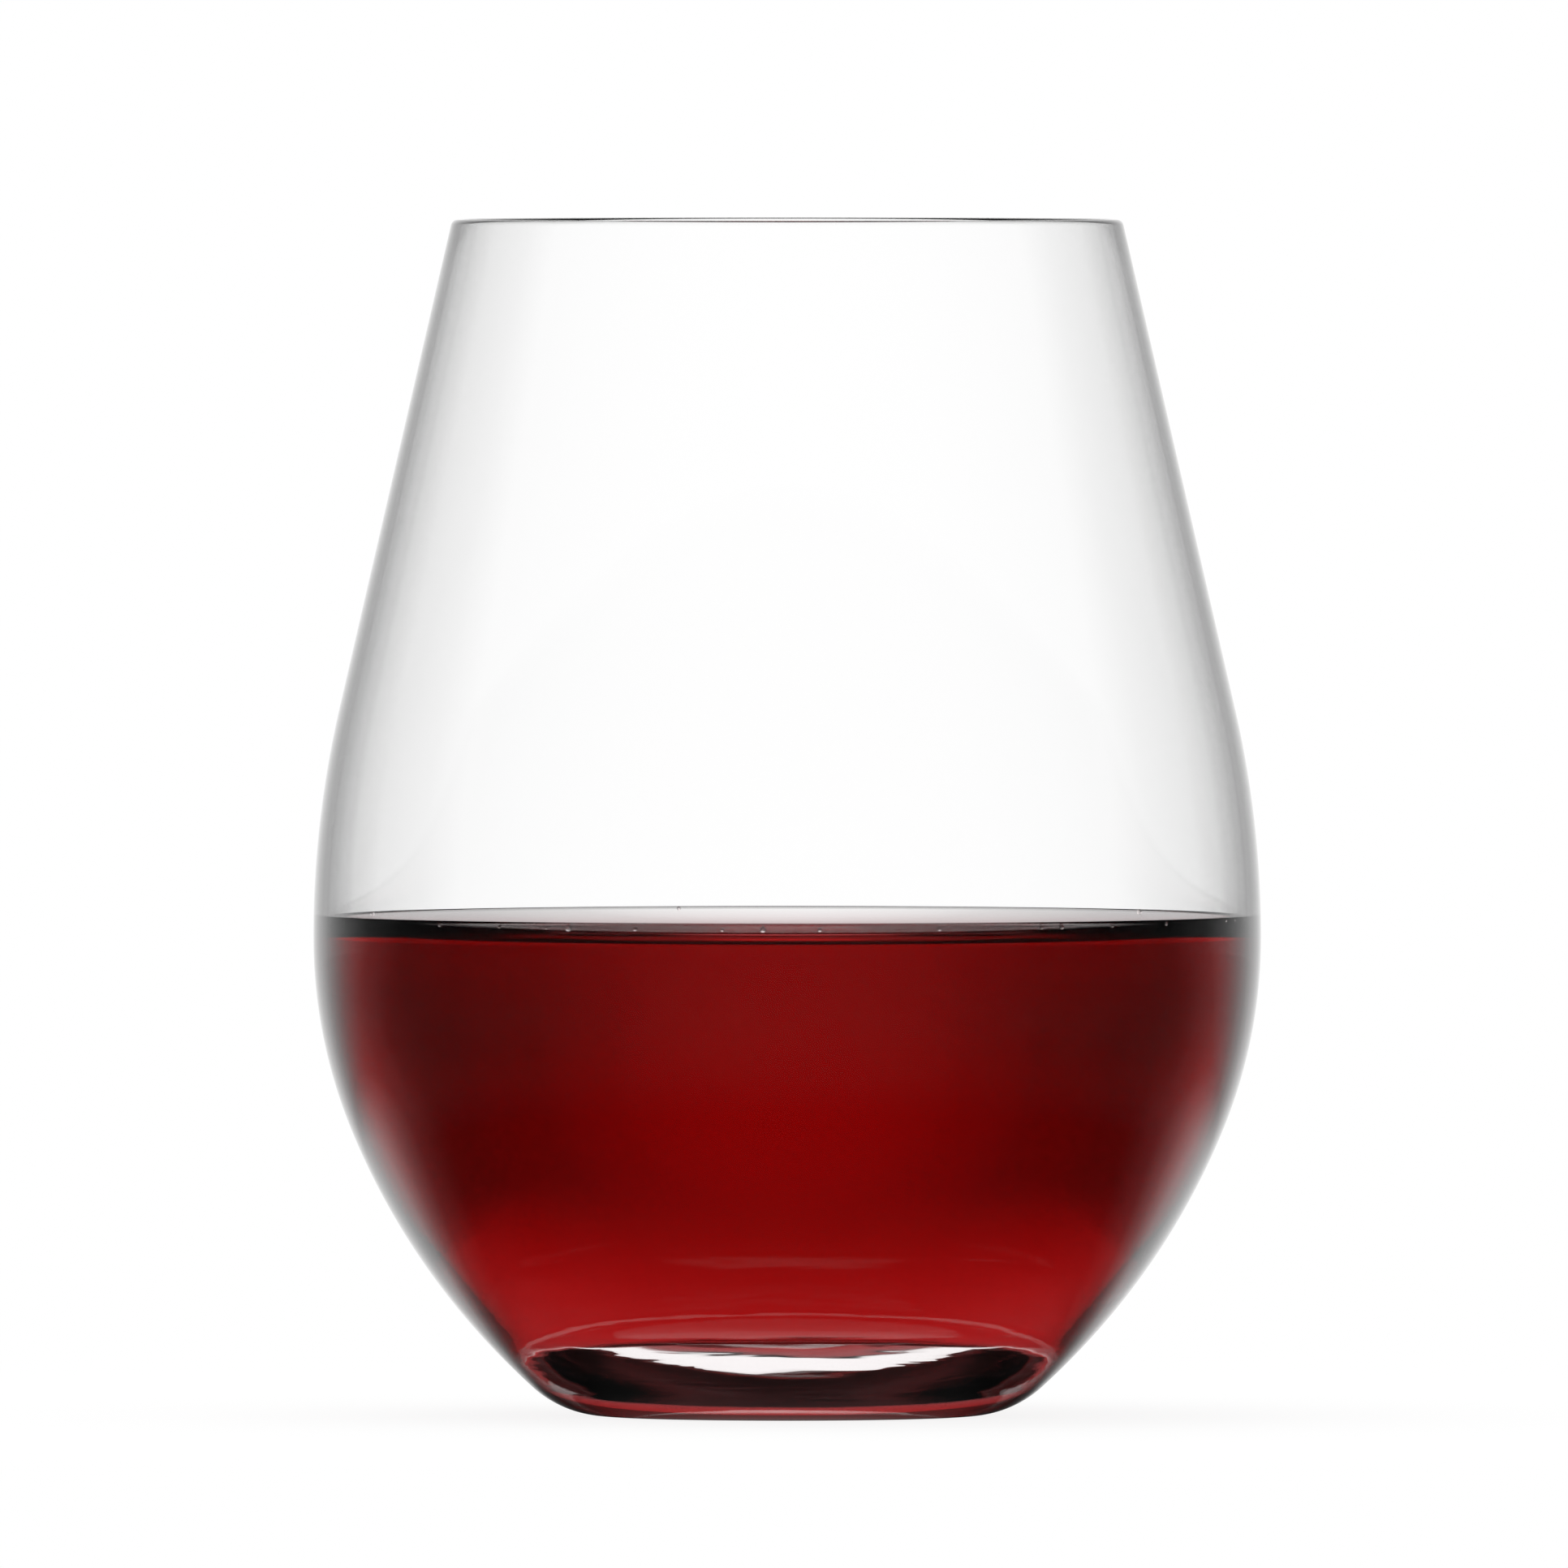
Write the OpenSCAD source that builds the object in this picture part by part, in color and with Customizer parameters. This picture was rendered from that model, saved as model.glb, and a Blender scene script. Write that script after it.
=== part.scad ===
// Stemless wine glass holding a pour of red wine. The glass is one blown piece: a
// tapered bowl whose wall thickens into a heavy flat foot. The wine lies in the bowl
// and climbs the wall in a meniscus, and a few small bubbles ring its edge.
// Millimetres, +Z up. The origin is the middle of the foot, on the table.

/* [Glass outside] */
// Height from the table to the top of the rim
glass_h = 120; // [90:1:150]
// Outside diameter at the widest place
belly_d = 95.1; // [84:0.1:110]
// Height of the widest place above the table
belly_z = 48; // [42:0.5:56]
// Lean of the straight upper wall from upright, in degrees
wall_lean = 13; // [6:0.5:18]
// Radius of the long curve that joins the belly to the straight wall
shoulder_round = 102; // [60:1:140]
// Radius of the belly curve just under the widest place
belly_round = 51; // [46:1:58]
// How far the belly curve turns before the flank takes over, in degrees
belly_turn = 22.5; // [14:0.5:28]
// Diameter of the flat that the glass stands on
foot_d = 36.3; // [26:0.1:42]
// Radius of the heel between the foot and the flank
heel_round = 11; // [6:0.5:13]

/* [Glass inside] */
// Thickness of the blown wall, from the rim down to the belly
wall_t = 1.45; // [1:0.05:2.5]
// Thickness of the solid glass under the middle of the wine
base_t = 8.6; // [5:0.1:11]
// How far in from the widest place the edge of the dished floor inside lies
floor_inset = 26.05; // [24.5:0.05:32.5]
// Radius of the shallow dish, whose middle is its lowest point
dish_round = 125; // [90:1:400]
// Radius of the corner between the floor and the inner wall
floor_round = 11.5; // [7:0.5:13]
// How far the inner belly curve turns before the flank takes over, in degrees
inner_turn = 7.5; // [5:0.5:14]

/* [Wine] */
// Height of the wine's flat surface above the table
wine_z = 47.7; // [30:0.1:80]
// Height that sets how far surface tension lifts the wine's edge
capillary_l = 2.25; // [1.5:0.05:3]
// Slope of the wine's surface where it meets the wall, in degrees
edge_slope = 70; // [55:1:85]
// Running gap between the wine and the glass
wine_gap = 0.1; // [0.05:0.01:0.2]

/* [Bubbles] */
// Diameter of the largest bubble
bubble_d = 0.7; // [0.4:0.05:1.2]
// Slope of the wine's surface under the bubbles, in degrees
bubble_slope = 46; // [30:1:50]
// Gap between a bubble and the wine's surface
bubble_gap = 0.02; // [0.01:0.01:0.1]

/* [Hidden] */

// Straight steps that stand for each round stretch of an outline
arc_steps = 14;
dish_steps = 8;
rim_steps = 10;
edge_steps = 22;
// Slope, in degrees, at which the wine's surface counts as flat
flat_slope = 2;
$fn = 96;

// Bubbles: where each lies, in degrees from the front towards the right, and its
// size as a share of the largest
bubble_turns = [
    -166, -112, -48, -38, -31, -28, -19, -8, -3, 4, 19, 33, 36, 44, 54, 69, 72, 76, 128
];
bubble_shares = [
    0.6, 0.7, 0.6, 0.5, 0.5, 1, 0.6, 0.5, 0.8, 0.6, 0.6, 0.6, 0.7, 0.6, 0.6, 0.7, 0.6, 0.5, 0.8
];

// Points along an arc, from one angle to another in degrees, measured up from
// straight outwards
function arc(centre, radius, from, to, steps) = [
    for (i = [0 : steps])
        let (turn = from + (to - from) * i / steps)
        centre + radius * [cos(turn), sin(turn)]
];

// Centres of the shoulder and belly curves, which the inner wall shares
shoulder_c = [belly_d / 2 - shoulder_round, belly_z];
belly_c = [belly_d / 2 - belly_round, belly_z];

// How much larger the flank's radius is than the belly's, so that the flank leaves
// the belly smoothly and runs smoothly into a corner of the given centre and radius
function flank_growth(belly_r, belly_end, corner_c, corner_r) =
    let (reach = corner_c - belly_c, spare = belly_r - corner_r)
    (spare * spare - reach * reach) / (2 * (reach * belly_end - spare));

// Outline of one face of the glass from its corner to the straight wall. The inset
// is how far it lies inside the outer face, the corner's arc begins at the angle
// start and the belly's ends at the angle turn.
function bowl_side(inset, corner_c, corner_r, start, turn) =
    let (
        belly_r = belly_round - inset,
        belly_end = [cos(turn), -sin(turn)],
        growth = flank_growth(belly_r, belly_end, corner_c, corner_r),
        flank_r = belly_r + growth,
        flank_c = belly_c - growth * belly_end,
        to_corner = corner_c - flank_c,
        corner_turn = atan2(to_corner[1], to_corner[0])
    )
    concat(
        arc(corner_c, corner_r, start, corner_turn, arc_steps),
        arc(flank_c, flank_r, corner_turn, -turn, arc_steps),
        arc(belly_c, belly_r, -turn, 0, arc_steps),
        arc(shoulder_c, shoulder_round - inset, 0, wall_lean, arc_steps)
    );

// Outline of the glass's inside, or of the wine's side, which lies in from it by the
// given gap: the dish, then the face from the corner up
floor_r = belly_d / 2 - floor_inset;
dish_end = asin(floor_r / dish_round) - 90;
dish_c = [0, base_t + dish_round];
floor_corner_c = dish_c + (dish_round - floor_round) * [cos(dish_end), sin(dish_end)];
function inside(gap) = concat(
    arc(dish_c, dish_round - gap, -90, dish_end, dish_steps),
    bowl_side(wall_t + gap, floor_corner_c, floor_round - gap, dish_end, inner_turn)
);

foot_side = bowl_side(0, [foot_d / 2, heel_round], heel_round, -90, belly_turn);
inner_side = inside(0);

// The rim is fire-polished round: a half circle across the wall's thickness
rim_r = wall_t / 2;
rim_z = glass_h - rim_r;
wall_top = shoulder_c + (shoulder_round - rim_r) * [cos(wall_lean), sin(wall_lean)];
rim_c = [wall_top[0] - (rim_z - wall_top[1]) * tan(wall_lean), rim_z];

// Radius of the straight wall at a height, at the given inset
function wall_r(inset, z) =
    let (top = shoulder_c + (shoulder_round - inset) * [cos(wall_lean), sin(wall_lean)])
    top[0] - (z - top[1]) * tan(wall_lean);

module glass_bowl() {
    color([0.92, 0.95, 0.95, 0.35])
    rotate_extrude()
    polygon(concat(
        [[0, 0]],
        foot_side,
        arc(rim_c, rim_r, wall_lean, wall_lean + 180, rim_steps),
        [for (i = [len(inner_side) - 1 : -1 : 0]) inner_side[i]]
    ));
}

// The wine follows the inner wall at the running gap, up to where its edge ends
wine_side = inside(wine_gap);

// Radius of the wine's side at a height: along the outline's steps, or past their
// end along the straight wall
function along(points, z, i) =
    points[i + 1][1] >= z
        ? let (share = (z - points[i][1]) / (points[i + 1][1] - points[i][1]))
          points[i][0] + share * (points[i + 1][0] - points[i][0])
        : along(points, z, i + 1);
function wine_r(z) =
    z >= wine_side[len(wine_side) - 1][1] ? wall_r(wall_t + wine_gap, z) : along(wine_side, z, 1);

// Height and distance of the meniscus where its surface has the given slope
function edge_height(slope) = 2 * capillary_l * (sin(slope / 2) - sin(flat_slope / 2));
function edge_reach(slope) = capillary_l * (ln(1 / tan(slope / 4)) - 2 * cos(slope / 2));

wine_top = wine_z + edge_height(edge_slope);
wine_top_r = wine_r(wine_top);

// Point on the wine's surface at a slope, counted in from the wall
function edge_point(slope) = [
    wine_top_r - (edge_reach(slope) - edge_reach(edge_slope)),
    wine_z + edge_height(slope)
];

module red_wine() {
    color([0.45, 0.02, 0.05])
    rotate_extrude()
    polygon(concat(
        [for (p = wine_side) if (p[1] < wine_top) p],
        [for (i = [0 : edge_steps]) edge_point(edge_slope + (flat_slope - edge_slope) * i / edge_steps)],
        [[0, wine_z]]
    ));
}

// Each bubble is a bead that sits on the sloping edge of the wine, clear of the wall
module wine_bubbles() {
    seat = edge_point(bubble_slope);
    lift = [-sin(bubble_slope), cos(bubble_slope)];
    color([0.95, 0.85, 0.86, 0.6])
    for (i = [0 : len(bubble_turns) - 1])
        let (
            size = bubble_d * bubble_shares[i],
            middle = seat + (size / 2 + bubble_gap) * lift
        )
        rotate([0, 0, bubble_turns[i] - 90])
        translate([middle[0], 0, middle[1]])
        sphere(d = size);
}

glass_bowl();
red_wine();
wine_bubbles();
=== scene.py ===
"""Stemless wine glass with a pour of red wine, dressed and lit as for a product photograph."""

import logging
import math
from dataclasses import dataclass, field
from enum import Enum
from typing import Any

import bmesh
import bpy
from mathutils import Matrix, Vector


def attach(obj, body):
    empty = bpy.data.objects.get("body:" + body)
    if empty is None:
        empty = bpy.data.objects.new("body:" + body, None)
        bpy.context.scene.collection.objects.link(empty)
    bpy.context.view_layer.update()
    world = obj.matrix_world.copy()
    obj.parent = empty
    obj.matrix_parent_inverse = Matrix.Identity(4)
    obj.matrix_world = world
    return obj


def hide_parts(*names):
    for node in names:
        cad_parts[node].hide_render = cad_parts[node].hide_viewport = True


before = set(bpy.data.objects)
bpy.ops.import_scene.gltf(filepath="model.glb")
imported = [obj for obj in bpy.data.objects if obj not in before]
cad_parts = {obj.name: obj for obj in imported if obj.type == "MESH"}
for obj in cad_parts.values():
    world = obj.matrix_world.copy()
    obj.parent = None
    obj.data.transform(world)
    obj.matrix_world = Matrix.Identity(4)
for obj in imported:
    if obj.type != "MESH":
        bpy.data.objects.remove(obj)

LOG = logging.getLogger("wine_glass")
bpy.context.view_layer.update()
MM = 0.001
MERGE_DISTANCE = 1e-7
JOIN_DISTANCE = 1e-6

Stops = tuple[tuple[float, float], ...]


class Body(Enum):
    """The bodies that the pieces ride on."""

    GLASS = "glass"
    WINE = "wine"


class Slot(Enum):
    """The record's material slots."""

    CLEAR_GLASS = "clear_glass"
    RED_WINE = "red_wine"
    BUBBLE_FILM = "bubble_film"


class Signal:
    """A number that nodes work out. Arithmetic on it adds Math nodes."""

    def __init__(self, tree: "Tree", socket: bpy.types.NodeSocket) -> None:
        """Wraps one output socket of a tree."""
        self.tree = tree
        self.socket = socket

    def __add__(self, other: "Signal | float") -> "Signal":
        """Sum."""
        return self.tree.maths("ADD", self, other)

    def __sub__(self, other: "Signal | float") -> "Signal":
        """Difference."""
        return self.tree.maths("SUBTRACT", self, other)

    def __rsub__(self, other: "Signal | float") -> "Signal":
        """Difference with the signal on the right."""
        return self.tree.maths("SUBTRACT", other, self)

    def __mul__(self, other: "Signal | float") -> "Signal":
        """Product."""
        return self.tree.maths("MULTIPLY", self, other)

    def __truediv__(self, other: "Signal | float") -> "Signal":
        """Quotient."""
        return self.tree.maths("DIVIDE", self, other)

    __radd__ = __add__
    __rmul__ = __mul__


class Tree:
    """Adds nodes to one material or world, whose own nodes it clears first."""

    least_level: float = 0.05

    def __init__(self, owner: bpy.types.Material | bpy.types.World) -> None:
        """Starts an empty node tree.

        Args:
            owner: the material or world that the nodes belong to.
        """
        owner.use_nodes = True
        self.tree = owner.node_tree
        self.tree.nodes.clear()

    def add(self, kind: str, settings: dict[str, Any] | None = None, **values: Any) -> bpy.types.Node:
        """Adds one node.

        Args:
            kind: the node's type.
            settings: its settings, such as an operation or a ramp's stops.
            values: a value or a link for each socket, named with underscores for spaces.
        Returns:
            The node.
        """
        node = self.tree.nodes.new(kind)
        for name, setting in (settings or {}).items():
            if name == "stops":
                self.fill_ramp(node.color_ramp, setting)
            else:
                setattr(node, name, setting)
        for name, value in values.items():
            key = int(name[1:]) if name[1:].isdigit() else name.replace("_", " ")
            self.feed(node.inputs[key], value)
        return node

    def feed(self, socket: bpy.types.NodeSocket, value: Any) -> None:
        """Links or sets one input socket.

        Args:
            socket: the input.
            value: a signal, an output socket or a plain value.
        """
        if isinstance(value, Signal):
            self.tree.links.new(value.socket, socket)
        elif isinstance(value, bpy.types.NodeSocket):
            self.tree.links.new(value, socket)
        else:
            socket.default_value = value

    @staticmethod
    def fill_ramp(ramp: bpy.types.ColorRamp, stops: Stops) -> None:
        """Sets a ramp of greys.

        Args:
            ramp: the ramp, with its two first stops.
            stops: each stop's place and grey level.
        """
        ramp.interpolation = "LINEAR"
        while len(ramp.elements) < len(stops):
            ramp.elements.new(1.0)
        for element, (place, grey) in zip(ramp.elements, stops):
            element.position = place
            element.color = (grey, grey, grey, 1.0)

    def signal(self, node: bpy.types.Node, output: str) -> Signal:
        """Wraps one output of a node."""
        return Signal(self, node.outputs[output])

    def maths(self, operation: str, first: Signal | float, second: Signal | float) -> Signal:
        """Adds a Math node on two values."""
        return self.signal(self.add("ShaderNodeMath", {"operation": operation}, _0=first, _1=second), "Value")

    def ramp(self, place: Signal, stops: Stops) -> Signal:
        """Adds a ramp of greys along a signal."""
        return self.signal(self.add("ShaderNodeValToRGB", {"stops": stops}, Fac=place), "Color")

    def choose(self, factor: Signal, off: Signal | float, on: Signal | float) -> Signal:
        """Goes from one value to another as the factor goes from 0 to 1."""
        node = self.add("ShaderNodeMix", {"data_type": "FLOAT"}, _0=factor, _2=off, _3=on)
        return Signal(self, node.outputs[0])

    def rise(self, value: Signal, low: float, high: float) -> Signal:
        """Goes smoothly from 0 to 1 while the value goes from low to high."""
        node = self.add("ShaderNodeMapRange", {"interpolation_type": "SMOOTHSTEP"},
                        Value=value, From_Min=low, From_Max=high)
        return self.signal(node, "Result")

    def parts(self, vector: bpy.types.NodeSocket) -> tuple[Signal, Signal, Signal]:
        """Splits a vector into its three parts."""
        node = self.add("ShaderNodeSeparateXYZ", Vector=vector)
        return self.signal(node, "X"), self.signal(node, "Y"), self.signal(node, "Z")

    def side_facing(self, bend: float = 1.0) -> Signal:
        """Works out how far a wall turns sideways from a ray, whatever the wall's lean.

        Args:
            bend: how strongly the ray was bent before it got there.
        Returns:
            The turn, 0 square on and 1 edge-on.
        """
        facing = self.signal(self.add("ShaderNodeLayerWeight", Blend=0.5), "Facing")
        lean = self.parts(self.add("ShaderNodeNewGeometry").outputs["Normal"])[2]
        level = self.maths("SQRT", 1.0 - lean * lean / (bend * bend), 0.0)
        level = self.maths("MAXIMUM", level, self.least_level)
        return self.maths("MAXIMUM", 1.0 - (1.0 - facing) / level, 0.0)


class Outline:
    """A chain of edges beside the axis, in millimetres, which a full spin turns into a body."""

    def __init__(self, radius: float, height: float) -> None:
        """Starts the chain at a radius and height."""
        self.mesh = bmesh.new()
        self.tip = self.mesh.verts.new((radius * MM, 0.0, height * MM))

    def line(self, radius: float, height: float, steps: int = 1) -> None:
        """Draws a straight stretch.

        Args:
            radius: radius of its end.
            height: height of its end.
            steps: how many edges it has.
        """
        start, end = self.tip.co.copy(), Vector((radius * MM, 0.0, height * MM))
        for step in range(1, steps + 1):
            self.tip = bmesh.ops.extrude_vert_indiv(self.mesh, verts=[self.tip])["verts"][0]
            self.tip.co = start.lerp(end, step / steps)

    def arc(self, centre: tuple[float, float], turn: float, steps: int) -> None:
        """Draws an arc by spinning the chain's tip.

        Args:
            centre: radius and height of its centre.
            turn: its angle in radians, positive from straight out towards straight up.
            steps: how many edges it has.
        """
        made = bmesh.ops.spin(self.mesh, geom=[self.tip], cent=(centre[0] * MM, 0.0, centre[1] * MM),
                              axis=(0.0, -1.0, 0.0), angle=turn, steps=steps)
        self.tip = next(item for item in made["geom_last"] if isinstance(item, bmesh.types.BMVert))

    def spun(self, name: str, steps: int) -> bpy.types.Object:
        """Spins the chain about the axis into a closed body: one eighth, then doubled three times.

        Args:
            name: the object's name.
            steps: how many segments the full turn has, a multiple of 8.
        Returns:
            The object, smooth shaded.
        """
        mesh, eighth = self.mesh, math.tau / 8.0
        about = {"cent": (0.0, 0.0, 0.0), "axis": (0.0, 0.0, 1.0)}
        bmesh.ops.spin(mesh, geom=mesh.verts[:] + mesh.edges[:], angle=eighth, steps=steps // 8, **about)
        for share in (1, 2, 4):
            whole = mesh.verts[:] + mesh.edges[:] + mesh.faces[:]
            bmesh.ops.spin(mesh, geom=whole, angle=eighth * share, steps=1, use_duplicate=True, **about)
        return finished(name, mesh)


def finished(name: str, mesh: bmesh.types.BMesh) -> bpy.types.Object:
    """Closes poles and seams, turns the faces outwards and makes the object.

    Args:
        name: the object's name.
        mesh: the mesh, which is freed.
    Returns:
        The object, smooth shaded, at the origin.
    """
    bmesh.ops.remove_doubles(mesh, verts=mesh.verts[:], dist=MERGE_DISTANCE)
    bmesh.ops.recalc_face_normals(mesh, faces=mesh.faces[:])
    for face in mesh.faces:
        face.smooth = True
    data = bpy.data.meshes.new(name)
    mesh.to_mesh(data)
    mesh.free()
    piece = bpy.data.objects.new(name, data)
    bpy.context.scene.collection.objects.link(piece)
    return piece


@dataclass(frozen=True)
class ClearGlass:
    """Polished clear glass with painted shade that darkens it just inside its edges, and draw marks in the
    thick base.

    Outer and inner give the painted shade by how far the wall turns from the ray, where a ray comes in from
    outside and elsewhere. Marks are in metres.
    """

    name: str = "clear_glass"
    bend: float = 1.5
    sheen: float = 0.1
    # Painted shade stops: outer for rays from outside, inner for the rest, by how far the wall turns from the
    # ray.
    outer: Stops = (
        (0.0, 1.0), (0.14, 0.985), (0.36, 0.96), (0.50, 0.96), (0.60, 0.81), (0.65, 0.55), (0.70, 0.22),
        (0.753, 0.04), (0.80, 0.01), (1.0, 0.005))
    inner: Stops = (
        (0.0, 1.0), (0.30, 1.0), (0.40, 0.87), (0.56, 0.75), (0.66, 0.62), (0.73, 0.50), (0.80, 0.58),
        (0.90, 0.72), (1.0, 0.8))
    mark_depth: float = 0.000035
    mark_scale: tuple[float, float, float] = (45.0, 45.0, 600.0)
    mark_top: float = 0.020
    mark_detail: float = 2.0
    mark_twist: float = 0.6

    def tint(self, tree: Tree) -> Signal:
        """Works out the painted shade of the glass, darkest near the edges from outside.

        Args:
            tree: the material's nodes.
        Returns:
            The painted shade, from 0 to 1.
        """
        spot = tree.add("ShaderNodeTexCoord").outputs["Object"]
        across, along, _ = tree.parts(spot)
        side, front, _ = tree.parts(tree.add("ShaderNodeNewGeometry").outputs["Normal"])
        outside = tree.maths("GREATER_THAN", across * side + along * front, 0.0)
        facing = tree.side_facing()
        # Painted shade: the base colour falls to near black just inside the edges.
        return tree.choose(outside, tree.ramp(facing, self.inner), tree.ramp(facing, self.outer))

    def marks(self, tree: Tree) -> bpy.types.NodeSocket:
        """Bends the surface low down in flat streaks, drawn round as when the glass was blown.

        Args:
            tree: the material's nodes.
        Returns:
            The bent normal's socket.
        """
        spot = tree.add("ShaderNodeTexCoord").outputs["Object"]
        low = 1.0 - tree.rise(tree.parts(spot)[2], self.mark_top * 0.5, self.mark_top)
        flat = tree.add("ShaderNodeVectorMath", {"operation": "MULTIPLY"}, _0=spot, _1=self.mark_scale)
        noise = tree.add("ShaderNodeTexNoise", None, Vector=flat.outputs[0], Scale=1.0,
                         Detail=self.mark_detail, Distortion=self.mark_twist)
        height = (tree.signal(noise, "Fac") - 0.5) * low
        bump = tree.add("ShaderNodeBump", None, Strength=1.0, Distance=self.mark_depth, Height=height)
        return bump.outputs[0]

    def material(self) -> bpy.types.Material:
        """Makes the finish.

        Returns:
            The material.
        """
        made = bpy.data.materials.new(self.name)
        tree = Tree(made)
        # The base colour carries the painted edge shade; the glass itself is clear.
        shader = tree.add("ShaderNodeBsdfPrincipled", None, Base_Color=self.tint(tree), Roughness=0.0,
                          IOR=self.bend, Transmission_Weight=1.0, Normal=self.marks(tree),
                          Specular_Tint=(self.sheen, self.sheen, self.sheen, 1.0))
        tree.add("ShaderNodeOutputMaterial", None, Surface=shader.outputs[0])
        return made


@dataclass(frozen=True)
class RedWine:
    """Clear red wine, which takes far more green and blue out of light than red.

    Each shade gives the surface's tone by how far its side turns from the ray, at the foot, middle
    and top of the pour. Heights are in metres.
    """

    name: str = "red_wine"
    bend: float = 1.34
    strength: float = 95.0
    colour: tuple[float, float, float] = (0.819, 0.02, 0.04)
    glass_bend: float = 1.42
    low_to_middle: tuple[float, float] = (0.012, 0.026)
    middle_to_high: tuple[float, float] = (0.037, 0.0475)
    side_to_top: tuple[float, float] = (0.06, 0.2)
    high_shade: Stops = (
        (0.0, 0.9), (0.035, 0.53), (0.068, 0.38), (0.104, 0.30), (0.145, 0.235), (0.165, 0.20), (0.174, 0.23),
        (0.185, 0.33), (0.195, 0.42), (0.205, 0.62), (0.215, 0.9), (0.222, 1.0), (0.36, 1.0), (0.43, 0.03),
        (1.0, 0.03))
    middle_shade: Stops = (
        (0.0, 0.95), (0.037, 0.40), (0.072, 0.16), (0.126, 0.072), (0.157, 0.068), (0.178, 0.12),
        (0.19, 0.20), (0.205, 0.42), (0.218, 0.75), (0.23, 1.0), (0.30, 1.0), (0.37, 0.03), (1.0, 0.03))
    low_shade: Stops = (
        (0.0, 1.0), (0.025, 0.5), (0.055, 0.22), (0.107, 0.08), (0.15, 0.05), (0.182, 0.03), (1.0, 0.03))

    def material(self) -> bpy.types.Material:
        """Makes the finish.

        Returns:
            The material.
        """
        made = bpy.data.materials.new(self.name)
        tree = Tree(made)
        facing = tree.side_facing(self.glass_bend)
        low = tree.ramp(tree.side_facing(), self.low_shade)
        height = tree.parts(tree.add("ShaderNodeTexCoord").outputs["Object"])[2]
        middle, high = tree.ramp(facing, self.middle_shade), tree.ramp(facing, self.high_shade)
        side = tree.choose(tree.rise(height, *self.low_to_middle), low, middle)
        side = tree.choose(tree.rise(height, *self.middle_to_high), side, high)
        up = tree.parts(tree.add("ShaderNodeNewGeometry").outputs["Normal"])[2]
        shade = tree.choose(tree.rise(up, *self.side_to_top), side, 1.0)
        shader = tree.add("ShaderNodeBsdfPrincipled", None, Base_Color=shade, Roughness=0.0, IOR=self.bend,
                          Transmission_Weight=1.0, Specular_Tint=(0.0, 0.0, 0.0, 1.0))
        depth = tree.add("ShaderNodeVolumeAbsorption", None, Color=(*self.colour, 1.0),
                         Density=self.strength)
        tree.add("ShaderNodeOutputMaterial", None, Surface=shader.outputs[0], Volume=depth.outputs[0])
        return made


@dataclass(frozen=True)
class BubbleFilm:
    """The thin bright film of a small bubble."""

    name: str = "bubble_film"
    bend: float = 1.5
    colour: tuple[float, float, float, float] = (0.98, 0.93, 0.93, 1.0)

    def material(self) -> bpy.types.Material:
        """Makes the finish.

        Returns:
            The material.
        """
        made = bpy.data.materials.new(self.name)
        tree = Tree(made)
        shader = tree.add("ShaderNodeBsdfPrincipled", None, Base_Color=self.colour, Roughness=0.0,
                          IOR=self.bend, Transmission_Weight=1.0)
        tree.add("ShaderNodeOutputMaterial", None, Surface=shader.outputs[0])
        return made


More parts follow.
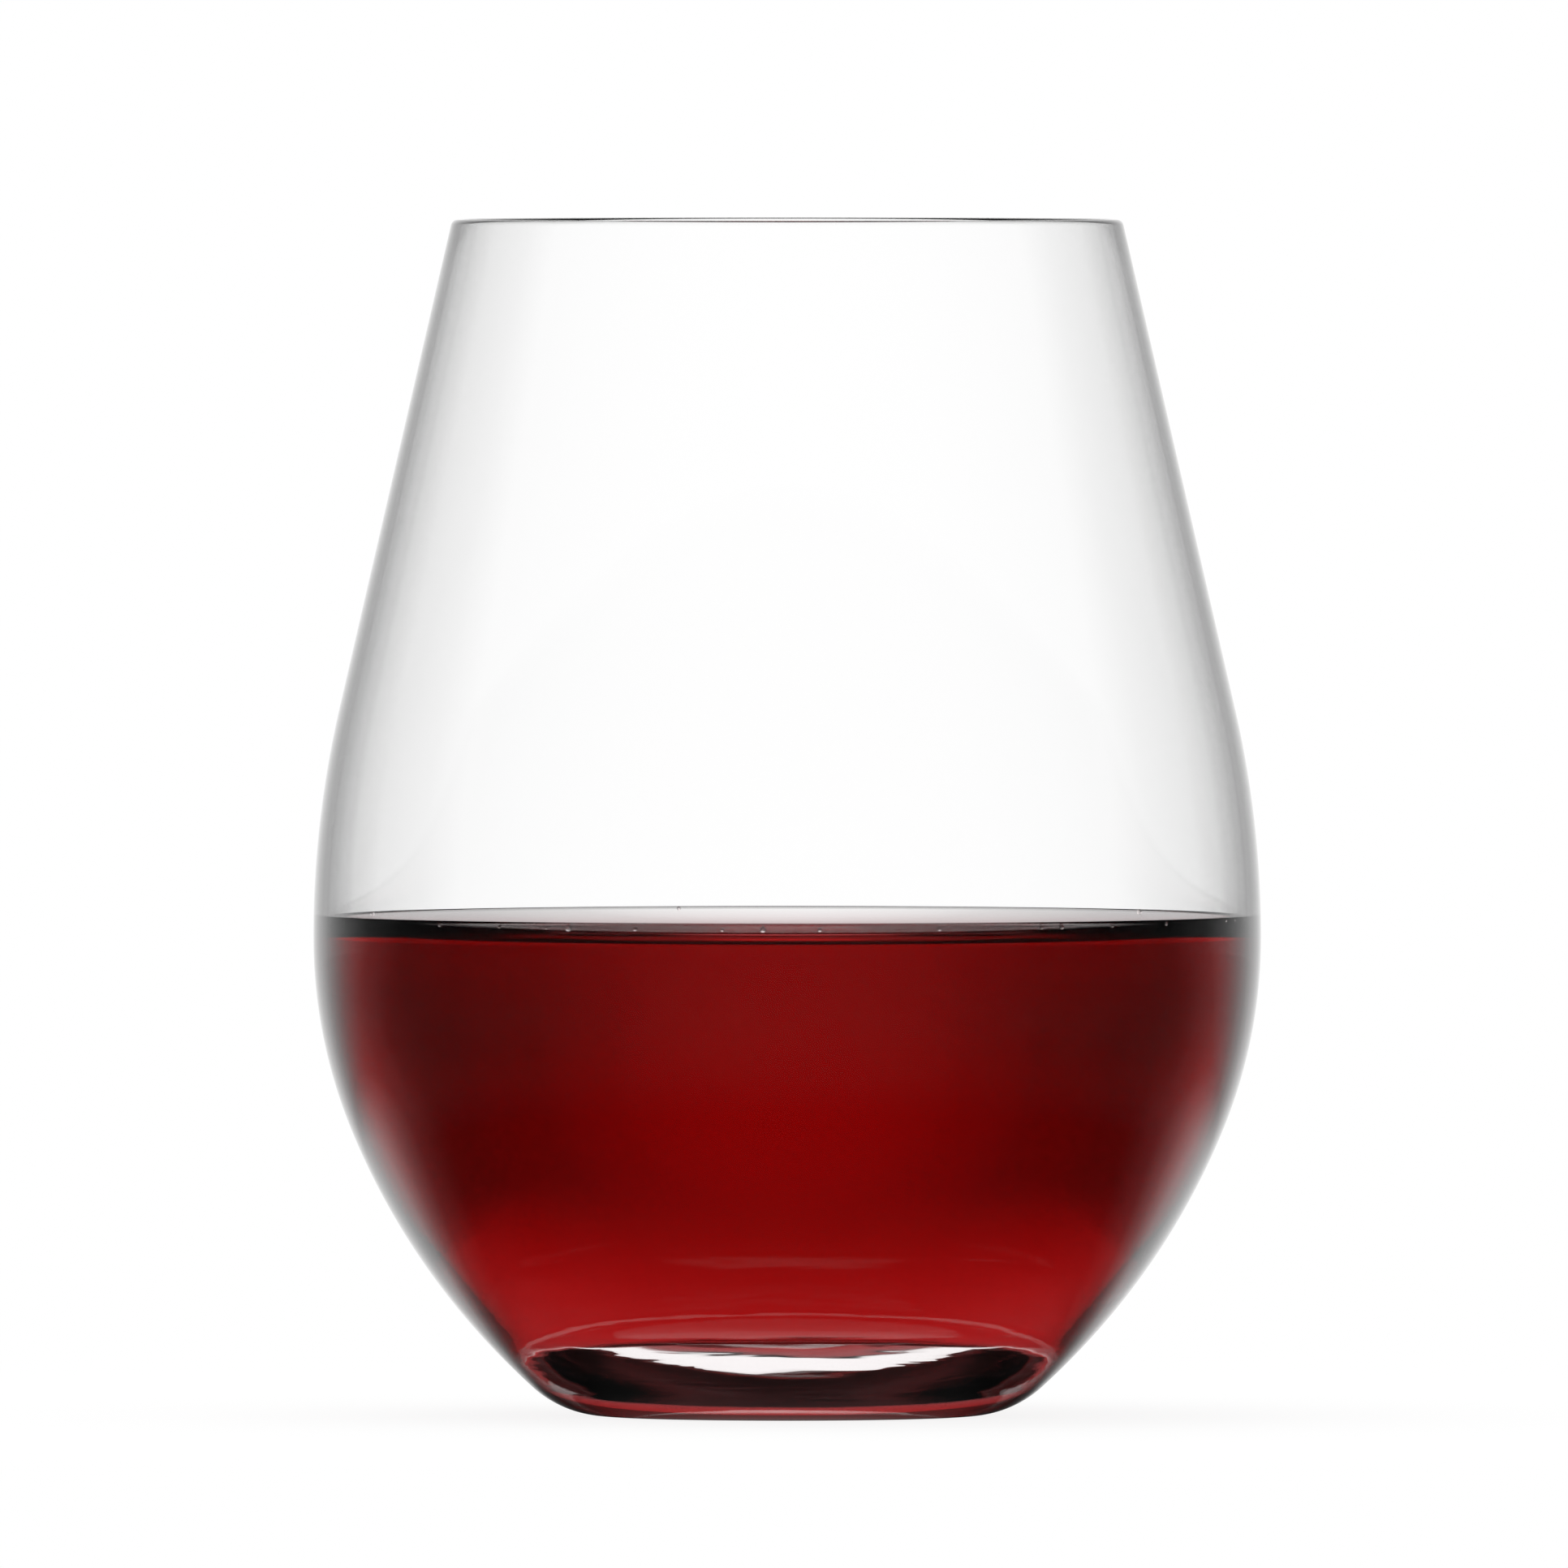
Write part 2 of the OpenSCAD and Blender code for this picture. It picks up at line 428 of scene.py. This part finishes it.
@dataclass
class StemlessGlass:
    """The blown glass: tapered bowl, round rim, heavy base. Millimetres and radians."""

    height: float = 120.0
    belly_radius: float = 47.55
    belly_height: float = 48.0
    lean: float = math.radians(13.0)
    shoulder_round: float = 102.0
    belly_round: float = 51.0
    belly_turn: float = math.radians(22.5)
    foot_radius: float = 18.15
    heel_round: float = 11.0
    wall: float = 1.45
    base: float = 8.6
    floor_radius: float = 21.5
    dish_round: float = 125.0
    floor_round: float = 11.5
    inner_turn: float = math.radians(7.5)
    segments: int = 256
    foot_steps: int = 10
    corner_steps: int = 40
    flank_steps: int = 40
    belly_steps: int = 20
    shoulder_steps: int = 36
    wall_steps: int = 8
    rim_steps: int = 16
    dish_steps: int = 24
    finish: ClearGlass = field(default_factory=ClearGlass)

    def centres(self) -> tuple[Vector, Vector]:
        """Finds the centres of the shoulder and belly curves, in that order."""
        return (Vector((self.belly_radius - self.shoulder_round, self.belly_height)),
                Vector((self.belly_radius - self.belly_round, self.belly_height)))

    def flank(self, inset: float, corner: Vector, corner_round: float, turn: float) -> tuple[Vector, float]:
        """Finds the flank that runs smoothly from the belly into a corner.

        Args:
            inset: how far this face lies inside the outer one.
            corner: the corner curve's centre.
            corner_round: the corner curve's radius.
            turn: how far the belly curve turns before the flank takes over.
        Returns:
            The flank's centre, and the angle at which it meets the corner.
        """
        belly = self.centres()[1]
        belly_round = self.belly_round - inset
        end = Vector((math.cos(turn), -math.sin(turn)))
        reach, spare = corner - belly, belly_round - corner_round
        growth = (spare * spare - reach.dot(reach)) / (2.0 * (reach.dot(end) - spare))
        centre = belly - growth * end
        return centre, math.atan2(corner.y - centre.y, corner.x - centre.x)

    def draw_belly(self, outline: Outline, inset: float, corner: Vector, start: float, turn: float) -> None:
        """Draws one face of the bowl from its corner to the widest place.

        Args:
            outline: the chain, whose tip is where the corner begins.
            inset: how far this face lies inside the outer one.
            corner: the corner curve's centre.
            start: the angle at which the corner begins.
            turn: how far the belly curve turns.
        """
        corner_round = (Vector((outline.tip.co.x, outline.tip.co.z)) / MM - corner).length
        flank, meeting = self.flank(inset, corner, corner_round, turn)
        outline.arc(tuple(corner), meeting - start, self.corner_steps)
        outline.arc(tuple(flank), -turn - meeting, self.flank_steps)
        outline.arc(tuple(self.centres()[1]), turn, self.belly_steps)

    def draw_inside(self, gap: float) -> Outline:
        """Draws the dished floor and the inner face up to the widest place.

        Args:
            gap: how far the face lies inwards of the glass's own.
        Returns:
            The chain, which begins on the axis.
        """
        middle = Vector((0.0, self.base + self.dish_round))
        end = math.asin(self.floor_radius / self.dish_round) - math.pi / 2.0
        corner = middle + (self.dish_round - self.floor_round) * Vector((math.cos(end), math.sin(end)))
        outline = Outline(0.0, self.base + gap)
        outline.arc(tuple(middle), end + math.pi / 2.0, self.dish_steps)
        self.draw_belly(outline, self.wall + gap, corner, end, self.inner_turn)
        return outline

    def wall_radius(self, inset: float, height: float) -> float:
        """Works out the radius of the straight upper wall at a height.

        Args:
            inset: how far the face lies inside the outer one.
            height: the height.
        Returns:
            The radius.
        """
        shoulder = self.centres()[0]
        reach = self.shoulder_round - inset
        top = shoulder + reach * Vector((math.cos(self.lean), math.sin(self.lean)))
        return top.x - (height - top.y) * math.tan(self.lean)

    def build(self) -> bpy.types.Object:
        """Spins the whole glass from one outline, from under the foot over the rim to the floor inside.

        Returns:
            The glass, without its finish.
        """
        half = self.wall / 2.0
        rim = Vector((self.wall_radius(half, self.height - half), self.height - half))
        out = Vector((math.cos(self.lean), math.sin(self.lean)))
        outline = Outline(0.0, 0.0)
        shoulder = tuple(self.centres()[0])
        outline.line(self.foot_radius, 0.0, self.foot_steps)
        heel = Vector((self.foot_radius, self.heel_round))
        self.draw_belly(outline, 0.0, heel, -math.pi / 2.0, self.belly_turn)
        outline.arc(shoulder, self.lean, self.shoulder_steps)
        outline.line(*(rim + half * out), self.wall_steps)
        outline.arc(tuple(rim), math.pi, self.rim_steps)
        inside = self.draw_inside(0.0)
        inside.arc(shoulder, self.lean, self.shoulder_steps)
        inside.line(*(rim - half * out), self.wall_steps)
        self.join(outline, inside)
        return outline.spun("stemless_glass", self.segments)

    @staticmethod
    def join(outline: Outline, other: Outline) -> None:
        """Adds another chain's edges to the first, which share an end.

        Args:
            outline: the chain that grows.
            other: the chain that is used up.
        """
        spare = bpy.data.meshes.new("spare")
        other.mesh.to_mesh(spare)
        other.mesh.free()
        outline.mesh.from_mesh(spare)
        bpy.data.meshes.remove(spare)
        bmesh.ops.remove_doubles(outline.mesh, verts=outline.mesh.verts[:], dist=JOIN_DISTANCE)

    def dress(self) -> bpy.types.Object:
        """Builds the glass, gives it its finish and puts it in place of the CAD glass.

        Returns:
            The dressed piece.
        """
        piece = self.build()
        piece.data.materials.append(self.finish.material())
        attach(piece, Body.GLASS.value)
        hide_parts("glass_bowl")
        return piece


@dataclass
class WinePour:
    """The wine: it fills the bowl and climbs the wall in a meniscus. Millimetres and radians."""

    glass: StemlessGlass
    level: float = 47.7
    capillary: float = 2.25
    edge_slope: float = math.radians(70.0)
    flat_slope: float = math.radians(1.0)
    overlap: float = 0.1
    segments: int = 256
    climb_steps: int = 6
    edge_steps: int = 60
    top_steps: int = 10
    finish: RedWine = field(default_factory=RedWine)

    def rise(self, slope: float) -> float:
        """Height of the meniscus above the flat surface where it has a slope."""
        return 2.0 * self.capillary * (math.sin(slope / 2.0) - math.sin(self.flat_slope / 2.0))

    def reach(self, slope: float) -> float:
        """Distance of that place from where the slope would be upright."""
        return self.capillary * (math.log(1.0 / math.tan(slope / 4.0)) - 2.0 * math.cos(slope / 2.0))

    def edge_radius(self) -> float:
        """Works out the radius of the glass's inner wall at the wine's edge, in the shoulder curve.

        Returns:
            The radius.
        """
        shoulder = self.glass.centres()[0]
        reach = self.glass.shoulder_round - self.glass.wall
        over = self.level + self.rise(self.edge_slope) - shoulder.y
        return shoulder.x + math.sqrt(reach * reach - over * over)

    def surface_point(self, slope: float) -> Vector:
        """Radius and height of the wine's surface where it has a slope."""
        return Vector((self.edge_radius() - self.reach(slope) + self.reach(self.edge_slope),
                       self.level + self.rise(slope)))

    def build(self) -> bpy.types.Object:
        """Spins the wine. Its side lies just within the glass, so that light goes straight across.

        Returns:
            The wine, without its finish.
        """
        shoulder = self.glass.centres()[0]
        top = self.surface_point(self.edge_slope)
        outline = self.glass.draw_inside(-self.overlap)
        side_round = self.glass.shoulder_round - self.glass.wall + self.overlap
        climb = math.asin((top.y - shoulder.y) / side_round)
        outline.arc(tuple(shoulder), climb, self.climb_steps)
        for step in range(self.edge_steps + 1):
            slope = self.edge_slope + (self.flat_slope - self.edge_slope) * step / self.edge_steps
            outline.line(*self.surface_point(slope))
        outline.line(0.0, self.level, self.top_steps)
        return outline.spun("wine_pour", self.segments)

    def dress(self) -> bpy.types.Object:
        """Builds the wine, gives it its finish and puts it in place of the CAD wine.

        Returns:
            The dressed piece.
        """
        piece = self.build()
        piece.data.materials.append(self.finish.material())
        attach(piece, Body.WINE.value)
        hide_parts("red_wine")
        return piece


@dataclass
class EdgeBubbles:
    """The ring of small bubbles in the wine's edge. Millimetres, and degrees from the front.

    Low is how far over the flat wine the front ones lie, and climb and most say how much higher
    those round the side are.
    """

    wine: WinePour
    size: float = 0.7
    wall_gap: float = 0.06
    low: float = 1.9
    climb: float = 0.6
    most: float = 0.4
    roundness: int = 3
    turns: tuple[float, ...] = (
        -166, -112, -48, -38, -31, -28, -19, -8, -3, 4, 19, 33, 36, 44, 54, 69, 72, 76, 128)
    shares: tuple[float, ...] = (
        0.6, 0.7, 0.6, 0.5, 0.5, 1, 0.6, 0.5, 0.8, 0.6, 0.6, 0.6, 0.7, 0.6, 0.6, 0.7, 0.6, 0.5, 0.8)
    finish: BubbleFilm = field(default_factory=BubbleFilm)

    def dress(self) -> bpy.types.Object:
        """Builds the beads, gives them their finish and puts them in place of the CAD ones.

        Returns:
            The dressed piece.
        """
        mesh = bmesh.new()
        wall = self.wine.edge_radius() - self.wall_gap
        for turn, share in zip(self.turns, self.shares):
            size = self.size * share
            rise = self.low + min(self.climb * (1.0 - math.cos(math.radians(turn))), self.most)
            spot = Vector(((wall - size / 2.0) * MM, 0.0, (self.wine.level + rise) * MM))
            place = Matrix.Rotation(math.radians(turn - 90.0), 4, "Z") @ Matrix.Translation(spot)
            bmesh.ops.create_icosphere(mesh, subdivisions=self.roundness, radius=size * MM / 2.0,
                                       matrix=place)
        piece = finished("edge_bubbles", mesh)
        piece.data.materials.append(self.finish.material())
        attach(piece, Body.WINE.value)
        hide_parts("wine_bubbles")
        return piece


@dataclass
class Studio:
    """White surroundings, a pale floor, one soft lamp and the camera. Metres and radians.

    Through and under are the sky's and the floor's tone for rays that pass through the glass, by
    height and by distance; on the floor that is painted shade, dark in rings round the foot. Mirrored
    is the tone for rays that it reflects, from behind the camera to straight ahead, which the floor
    shows as painted light and shade, and near dims that on the floor close to the glass as painted shade.
    """

    floor_radius: float = 1.2
    floor_drop: float = 0.00002
    floor_sides: int = 96
    floor_colour: tuple[float, float, float, float] = (0.9, 0.9, 0.9, 1.0)
    white: tuple[float, float, float, float] = (1.0, 1.0, 1.0, 1.0)
    shadow: float = 0.12
    shadow_reach: tuple[float, float] = (0.05, 0.20)
    through: Stops = ((0.0, 1.0), (0.60, 1.0), (0.63, 0.25), (1.0, 0.25))
    under: Stops = (
        (0.0, 0.9), (0.018, 0.9), (0.02, 0.4), (0.036, 0.4), (0.038, 0.3), (0.048, 0.3), (0.05, 0.03),
        (0.14, 0.03), (0.18, 0.8), (0.26, 1.0))
    near: Stops = ((0.0, 0.1), (0.06, 0.5), (0.12, 0.9), (0.2, 1.0))
    ramp_scale: float = 2.0
    near_ahead: float = 0.42
    near_reach: tuple[float, float] = (0.07, 0.2)
    mirrored: Stops = (
        (0.0, 0.9), (0.15, 0.6), (0.3, 0.2), (0.45, 0.05), (0.65, 0.04), (0.775, 0.17), (0.85, 0.47),
        (0.95, 1.05), (1.0, 1.1))
    camera_distance: float = 4.8
    camera_height: float = 0.143
    camera_side: float = -0.000325
    view_width: float = 0.15725
    view_middle: float = 0.06335
    sensor: float = 36.0
    lamp_height: float = 2.0
    lamp_width: float = 1.6
    lamp_power: float = 12.0
    lamp_place: tuple[float, float] = (-0.3, 0.2)
    far_clip: float = 100.0
    bounces: int = 32
    mirror_bounces: int = 12

    def sky(self) -> None:
        """Lights the glass from white surroundings. Only rays through or off the glass see dark parts."""
        world = bpy.data.worlds.new("surroundings")
        bpy.context.scene.world = world
        tree = Tree(world)
        _, ahead, up = tree.parts(tree.add("ShaderNodeTexCoord").outputs["Generated"])
        through = tree.ramp(up, self.through)
        mirrored = tree.ramp(ahead * 0.5 + 0.5, self.mirrored)
        path = tree.add("ShaderNodeLightPath")
        seen = tree.choose(tree.signal(path, "Is Glossy Ray"), 1.0, mirrored)
        seen = tree.choose(tree.signal(path, "Is Transmission Ray"), seen, through)
        lit = tree.maths("GREATER_THAN", tree.signal(path, "Diffuse Depth"), 0.5)
        seen = tree.choose(lit, seen, 1.0)
        back = tree.add("ShaderNodeBackground", None, Color=self.white, Strength=seen)
        tree.add("ShaderNodeOutputWorld", None, Surface=back.outputs[0])

    def floor(self) -> bpy.types.Object:
        """Lays a pale floor that keeps the soft shadow round the foot and runs out into the white; seen
        through or off the glass, its glow carries painted light and shade.

        Returns:
            The floor.
        """
        mesh = bmesh.new()
        bmesh.ops.create_circle(mesh, cap_ends=True, segments=self.floor_sides, radius=self.floor_radius,
                                matrix=Matrix.Translation((0.0, 0.0, -self.floor_drop)))
        piece = finished("studio_floor", mesh)
        made = bpy.data.materials.new("floor_glow_and_painted_shade")
        tree = Tree(made)
        across, along, _ = tree.parts(tree.add("ShaderNodeTexCoord").outputs["Object"])
        radius = tree.maths("SQRT", across * across + along * along, 0.0)
        path = tree.add("ShaderNodeLightPath")
        camera = tree.signal(path, "Is Camera Ray")
        # Painted shade for rays through the glass: the floor's glow is dark in rings round the foot, pale
        # again further out.
        under = tree.ramp(radius * self.ramp_scale, self.under)
        # Painted light and shade for rays the glass reflects: the floor's glow is dimmed close to the glass
        # and near black to its sides, bright in front and behind.
        near = tree.ramp(radius * self.ramp_scale, self.near)
        ahead = along / radius + self.near_ahead * (1.0 - tree.rise(radius, *self.near_reach))
        mirrored = tree.ramp(ahead * 0.5 + 0.5, self.mirrored) * near
        tone = tree.choose(tree.signal(path, "Is Glossy Ray"), 1.0, mirrored)
        tone = tree.choose(tree.signal(path, "Is Transmission Ray"), tone, under)
        tone = tree.choose(camera, tone, 1.0)
        lit = camera * (1.0 - tree.rise(radius, *self.shadow_reach)) * self.shadow
        paint = tree.add("ShaderNodeBsdfDiffuse", None, Color=self.floor_colour)
        glow = tree.add("ShaderNodeEmission", None, Color=self.white, Strength=tone)
        both = tree.add("ShaderNodeMixShader", None, Fac=lit, _1=glow.outputs[0], _2=paint.outputs[0])
        tree.add("ShaderNodeOutputMaterial", None, Surface=both.outputs[0])
        piece.data.materials.append(made)
        return piece

    def lamp(self) -> bpy.types.Object:
        """Hangs one large soft lamp over the glass.

        Returns:
            The lamp.
        """
        light = bpy.data.lights.new("soft_lamp", "AREA")
        light.shape = "DISK"
        light.size = self.lamp_width
        light.energy = self.lamp_power
        lamp = bpy.data.objects.new("soft_lamp", light)
        lamp.location = (*self.lamp_place, self.lamp_height)
        lamp.visible_transmission = False
        lamp.visible_glossy = False
        bpy.context.scene.collection.objects.link(lamp)
        return lamp

    def camera(self) -> bpy.types.Object:
        """Sets up the long lens, a little over the rim and aimed at the middle of the glass.

        Returns:
            The camera.
        """
        data = bpy.data.cameras.new("camera")
        data.sensor_width = self.sensor
        data.lens = self.sensor * self.camera_distance / self.view_width
        data.clip_end = self.far_clip
        camera = bpy.data.objects.new("camera", data)
        camera.location = (self.camera_side, -self.camera_distance, self.camera_height)
        drop = math.atan2(self.camera_height - self.view_middle, self.camera_distance)
        camera.rotation_euler = (math.pi / 2.0 - drop, 0.0, 0.0)
        bpy.context.scene.collection.objects.link(camera)
        bpy.context.scene.camera = camera
        return camera

    def set_up(self) -> None:
        """Sets up the whole studio and how light is followed and shown."""
        scene = bpy.context.scene
        scene.view_settings.view_transform = "Standard"
        scene.cycles.max_bounces = self.bounces
        scene.cycles.transmission_bounces = self.bounces
        scene.cycles.glossy_bounces = self.mirror_bounces
        self.camera()
        self.sky()
        self.floor()
        self.lamp()


def main() -> None:
    """Builds the studio and the pieces in order."""
    logging.basicConfig(level=logging.INFO, format="%(name)s: %(message)s")
    Studio().set_up()
    glass = StemlessGlass()
    wine = WinePour(glass)
    for maker in (glass, wine, EdgeBubbles(wine)):
        piece = maker.dress()


if __name__ == "__main__":
    main()
